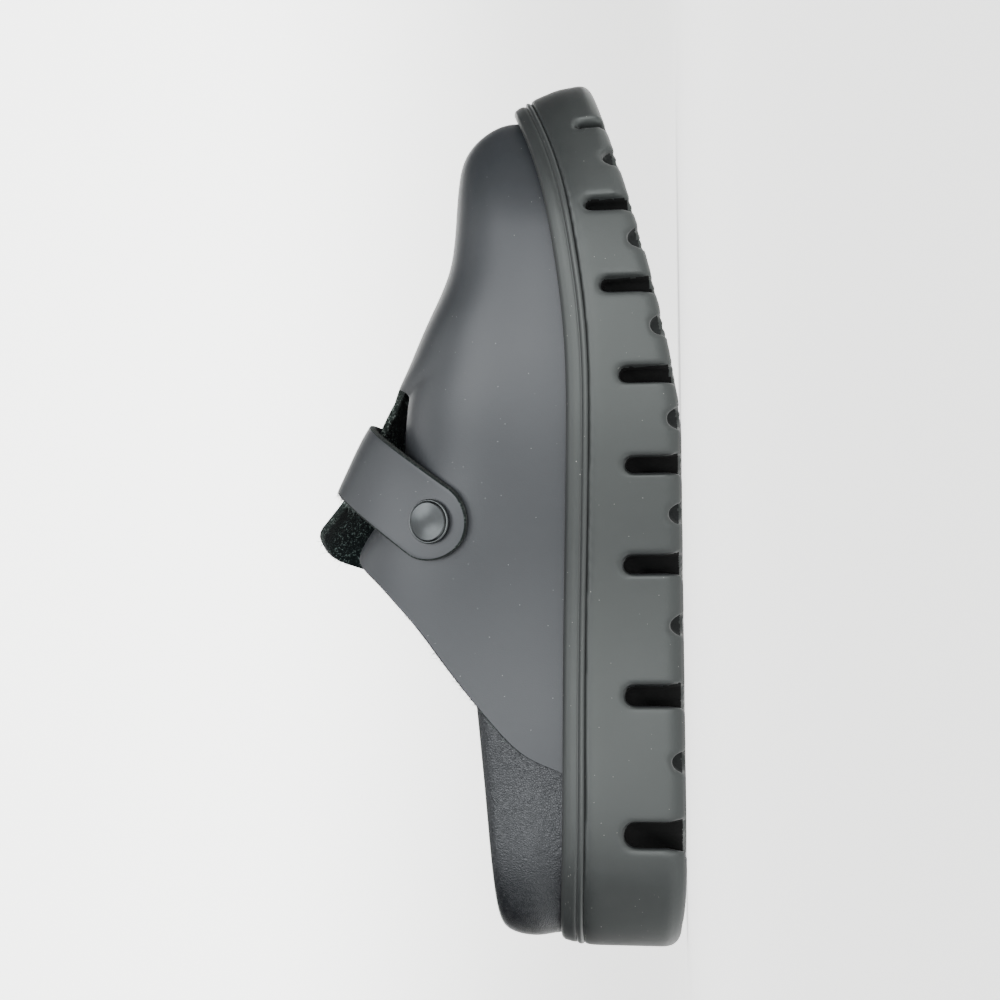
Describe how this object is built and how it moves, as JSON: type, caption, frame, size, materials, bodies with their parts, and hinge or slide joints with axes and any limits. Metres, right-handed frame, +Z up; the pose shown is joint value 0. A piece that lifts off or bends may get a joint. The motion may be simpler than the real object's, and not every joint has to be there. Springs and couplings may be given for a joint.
{
  "type": "platform clog",
  "caption": "Left platform clog: hollow leather vamp with throat slit and studded strap, leather-covered footbed with raised heel cup, and a lugged rubber platform sole with toe spring.",
  "frame": {"origin": "centre of the overall box in X and Y, on the floor plane that the tread stands on", "axes": "+X from heel to toe, +Y to the outer side of the left foot, +Z up"},
  "size_m": [0.2692, 0.099, 0.1191],
  "materials": {
    "platform_rubber": "matte",
    "rim_rubber": "matte",
    "footbed_leather": "fine pebbled grain",
    "upper_leather": "smooth matte",
    "strap_leather": "smooth matte",
    "dark_metal": "dark nickel"
  },
  "bodies": {
    "root": {"outsole": "platform_rubber", "rim": "rim_rubber", "footbed": "footbed_leather", "upper": "upper_leather", "strap": "strap_leather", "stud_medial": "dark_metal", "stud_lateral": "dark_metal"}
  },
  "joints": []
}
